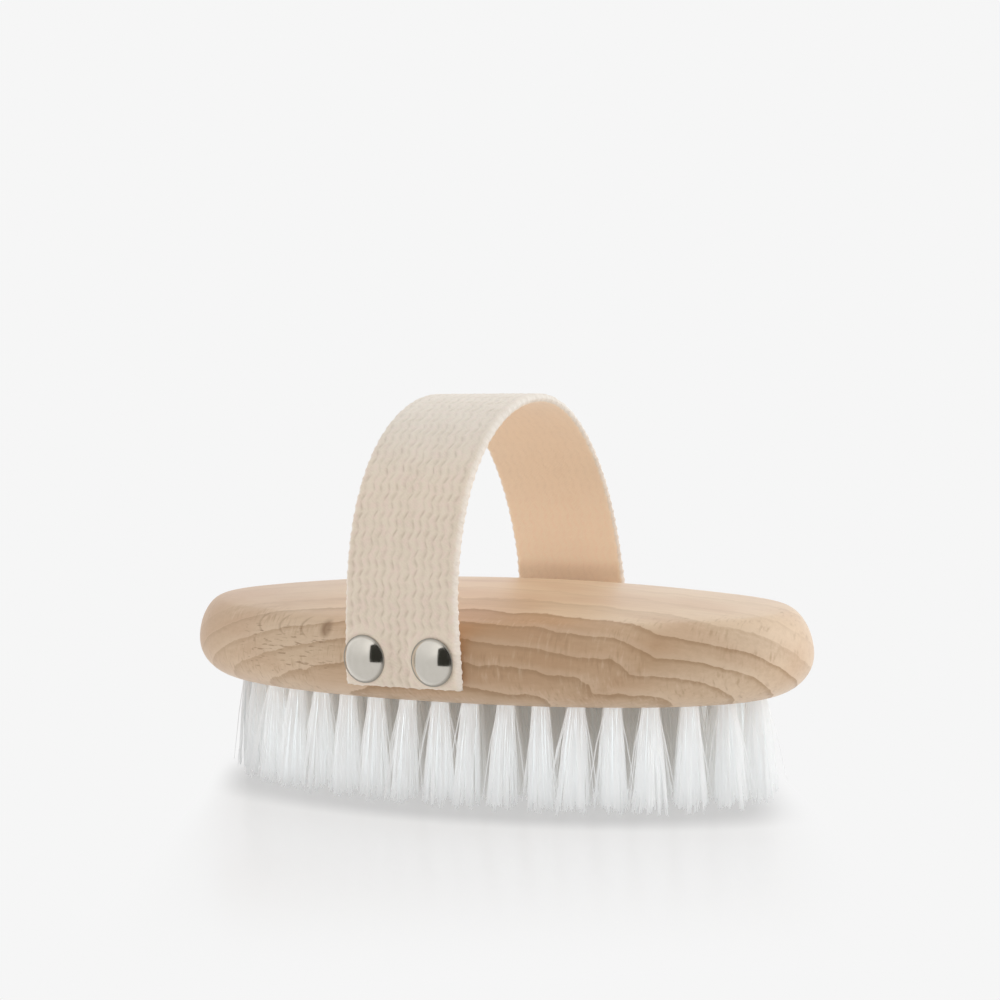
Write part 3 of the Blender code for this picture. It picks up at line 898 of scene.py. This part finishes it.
# The studio
# A seamless white sweep under even light: a broad soft lamp from the upper right, white walls all round,
# and a dark screen beside the camera that shows only in the polished nails.
PAPER_WHITE = 0.9216
FLOOR_WHITE = 0.80
FLOOR_SIZE = 12.0
FLOOR_DROP = 0.0002
UNDER_LENGTH = 0.062
UNDER_WIDTH = 0.030
UNDER_SHADOW_GREY = (0.17, 0.16, 0.152, 1)
SHADE_ALONG = 0.521
SHADE_ACROSS = 0.853
SHADE_ASIDE = 0.0018
SHADE_HALF_WIDTH = 0.0555
SHADE_DEPTH = 0.46
LAMP_PLACE = Vector((0.85, 0.25, 0.35))
LAMP_ENERGY = 1.2
LAMP_SPREAD = 70
SCREEN_HEADINGS = (15.6, 95)
SCREEN_PITCHES = (-13.5, 50)
SCREEN_DISTANCE = 1.6
SCREEN_MIDDLE = Vector((0, -0.035, 0.031))
CAMERA_PLACE = Vector((0.28611, -0.46836, 0.11012))
CAMERA_RIGHT = Vector((0.85707, 0.51379, -0.03816))
CAMERA_UP = Vector((-0.01576, 0.10018, 0.99484))
CAMERA_LENS = 97.27
LIGHT_BOUNCES = 32

# The sweep is an even white. Its own shading shows only in a soft patch under the brush and in front,
# and under the brush a painted shadow greys it.
bpy.ops.object.select_all(action="DESELECT")
bpy.ops.mesh.primitive_plane_add(size=FLOOR_SIZE, location=(0, 0, -FLOOR_DROP))
floor = bpy.context.object
floor.name = "studio_floor"
paper, shader, start = new_finish("white_paper", Roughness=0.22, IOR=1.3)
along, across, _ = start.node("TexCoord", outlet="Object").split()
ahead = along * SHADE_ALONG - across * SHADE_ACROSS
aside = (along * SHADE_ACROSS + across * SHADE_ALONG + SHADE_ASIDE).math("ABSOLUTE")
beside = (aside - SHADE_HALF_WIDTH) / (ahead.math("MAXIMUM", 0.0) * 0.08 + 0.004)
shaded = ahead.smooth(-0.05, -0.02) * (1 - ahead.smooth(0.045, 0.15)) * beside.smooth(1, -1)
# Painted shadow: the paper's colour turns grey under the brush.
under = ((along / UNDER_LENGTH) ** 2 + (across / UNDER_WIDTH) ** 2).smooth(0.9, 1.75)
plug(under.blend(UNDER_SHADOW_GREY, (*3 * (FLOOR_WHITE,), 1)), shader, "Base Color")
tree = paper.node_tree
glow = start.node("Emission", None, {"Color": (1, 1, 1, 1), "Strength": PAPER_WHITE})
shade = Wire(tree, shader.outputs[0])
lit = start.node("MixShader", None, {0: shaded * SHADE_DEPTH, 1: glow, 2: shade})
clear = start.node("BsdfTransparent")
behind = start.node("NewGeometry", outlet="Backfacing")
seen = start.node("MixShader", None, {0: behind, 1: lit, 2: clear})
tree.links.new(seen.outlet, tree.nodes["Material Output"].inputs["Surface"])
floor.data.materials.append(paper)
floor.visible_glossy = False

# The walls light the brush evenly, less from the front right, and look a little brighter in gloss.
world = bpy.data.worlds.new("studio")
bpy.context.scene.world = world
world.use_nodes = True
sky = world.node_tree
walls = Wire(sky, None)
right, back_wall, rise = walls.node("TexCoord", outlet="Generated").split()
front_right = right * 0.6 - back_wall * 0.8 + rise * 0.1
even = (right * -1).smooth(0.1, 1.0) * 0.30 + back_wall.smooth(0.0, 0.9) * 0.10
even = even - front_right.smooth(0.3, 1.0) * 0.50 + 0.85
shine = back_wall.smooth(-0.2, 0.9) * 0.35 + rise.smooth(-0.1, 0.8) * 0.15 + 0.70
shine = shine + right.smooth(-0.5, 0.15) * rise.smooth(0.1, 0.6) * 0.14
is_shine = walls.node("LightPath", outlet="Is Glossy Ray")
light = sky.nodes["Background"]
light.inputs["Color"].default_value = (1, 1, 1, 1)
plug(even * (1 - is_shine) + shine * is_shine, light, "Strength")
backdrop = walls.node("Background", None, {"Color": (PAPER_WHITE, PAPER_WHITE, PAPER_WHITE, 1)})
camera_ray = walls.node("LightPath", outlet="Is Camera Ray")
both = walls.node("MixShader", None, {0: camera_ray, 1: Wire(sky, light.outputs[0]), 2: backdrop})
sky.links.new(both.outlet, sky.nodes["World Output"].inputs["Surface"])

# The lamp is wide, so its shadows are soft.
bpy.ops.object.light_add(type="SUN")
lamp = bpy.context.object
lamp.name = "soft_lamp"
lamp.data.energy = LAMP_ENERGY
lamp.data.angle = math.radians(LAMP_SPREAD)
lamp.rotation_mode = "QUATERNION"
lamp.rotation_quaternion = LAMP_PLACE.to_track_quat("Z", "Y")

# The dark screen's corners lie at headings and pitches as seen from the nails, which alone show it.
bpy.ops.mesh.primitive_plane_add(size=1)
screen = bpy.context.object
screen.name = "dark_screen"
black, _, _ = new_finish("black_cloth", Base_Color=(0.02, 0.02, 0.015, 1), Roughness=1.0)
screen.data.materials.append(black)
corners = []
for pitch in map(math.radians, SCREEN_PITCHES):
    for heading in map(math.radians, SCREEN_HEADINGS):
        outward = Vector((math.sin(heading), -math.cos(heading), math.tan(pitch)))
        corners.append(outward * SCREEN_DISTANCE + SCREEN_MIDDLE)
for vertex, corner in zip(screen.data.vertices, corners):
    vertex.co = corner
screen.visible_camera = False
screen.visible_diffuse = False
screen.visible_shadow = False
screen.visible_transmission = False

# The camera stands where the photograph's stood. Light bounces often enough to pass among the bristles.
bpy.context.scene.cycles.max_bounces = LIGHT_BOUNCES
bpy.context.scene.cycles.diffuse_bounces = LIGHT_BOUNCES
camera_data = bpy.data.cameras.new("camera")
camera_data.lens = CAMERA_LENS
camera_data.sensor_width = 36
camera_data.clip_start = 0.01
camera_data.clip_end = 50
camera = bpy.data.objects.new("camera", camera_data)
bpy.context.scene.collection.objects.link(camera)
back_axis = CAMERA_RIGHT.cross(CAMERA_UP)
turned = Matrix((CAMERA_RIGHT, CAMERA_UP, back_axis)).transposed()
camera.matrix_world = Matrix.Translation(CAMERA_PLACE) @ turned.to_4x4()
bpy.context.scene.camera = camera
bpy.context.scene.view_settings.view_transform = "Standard"
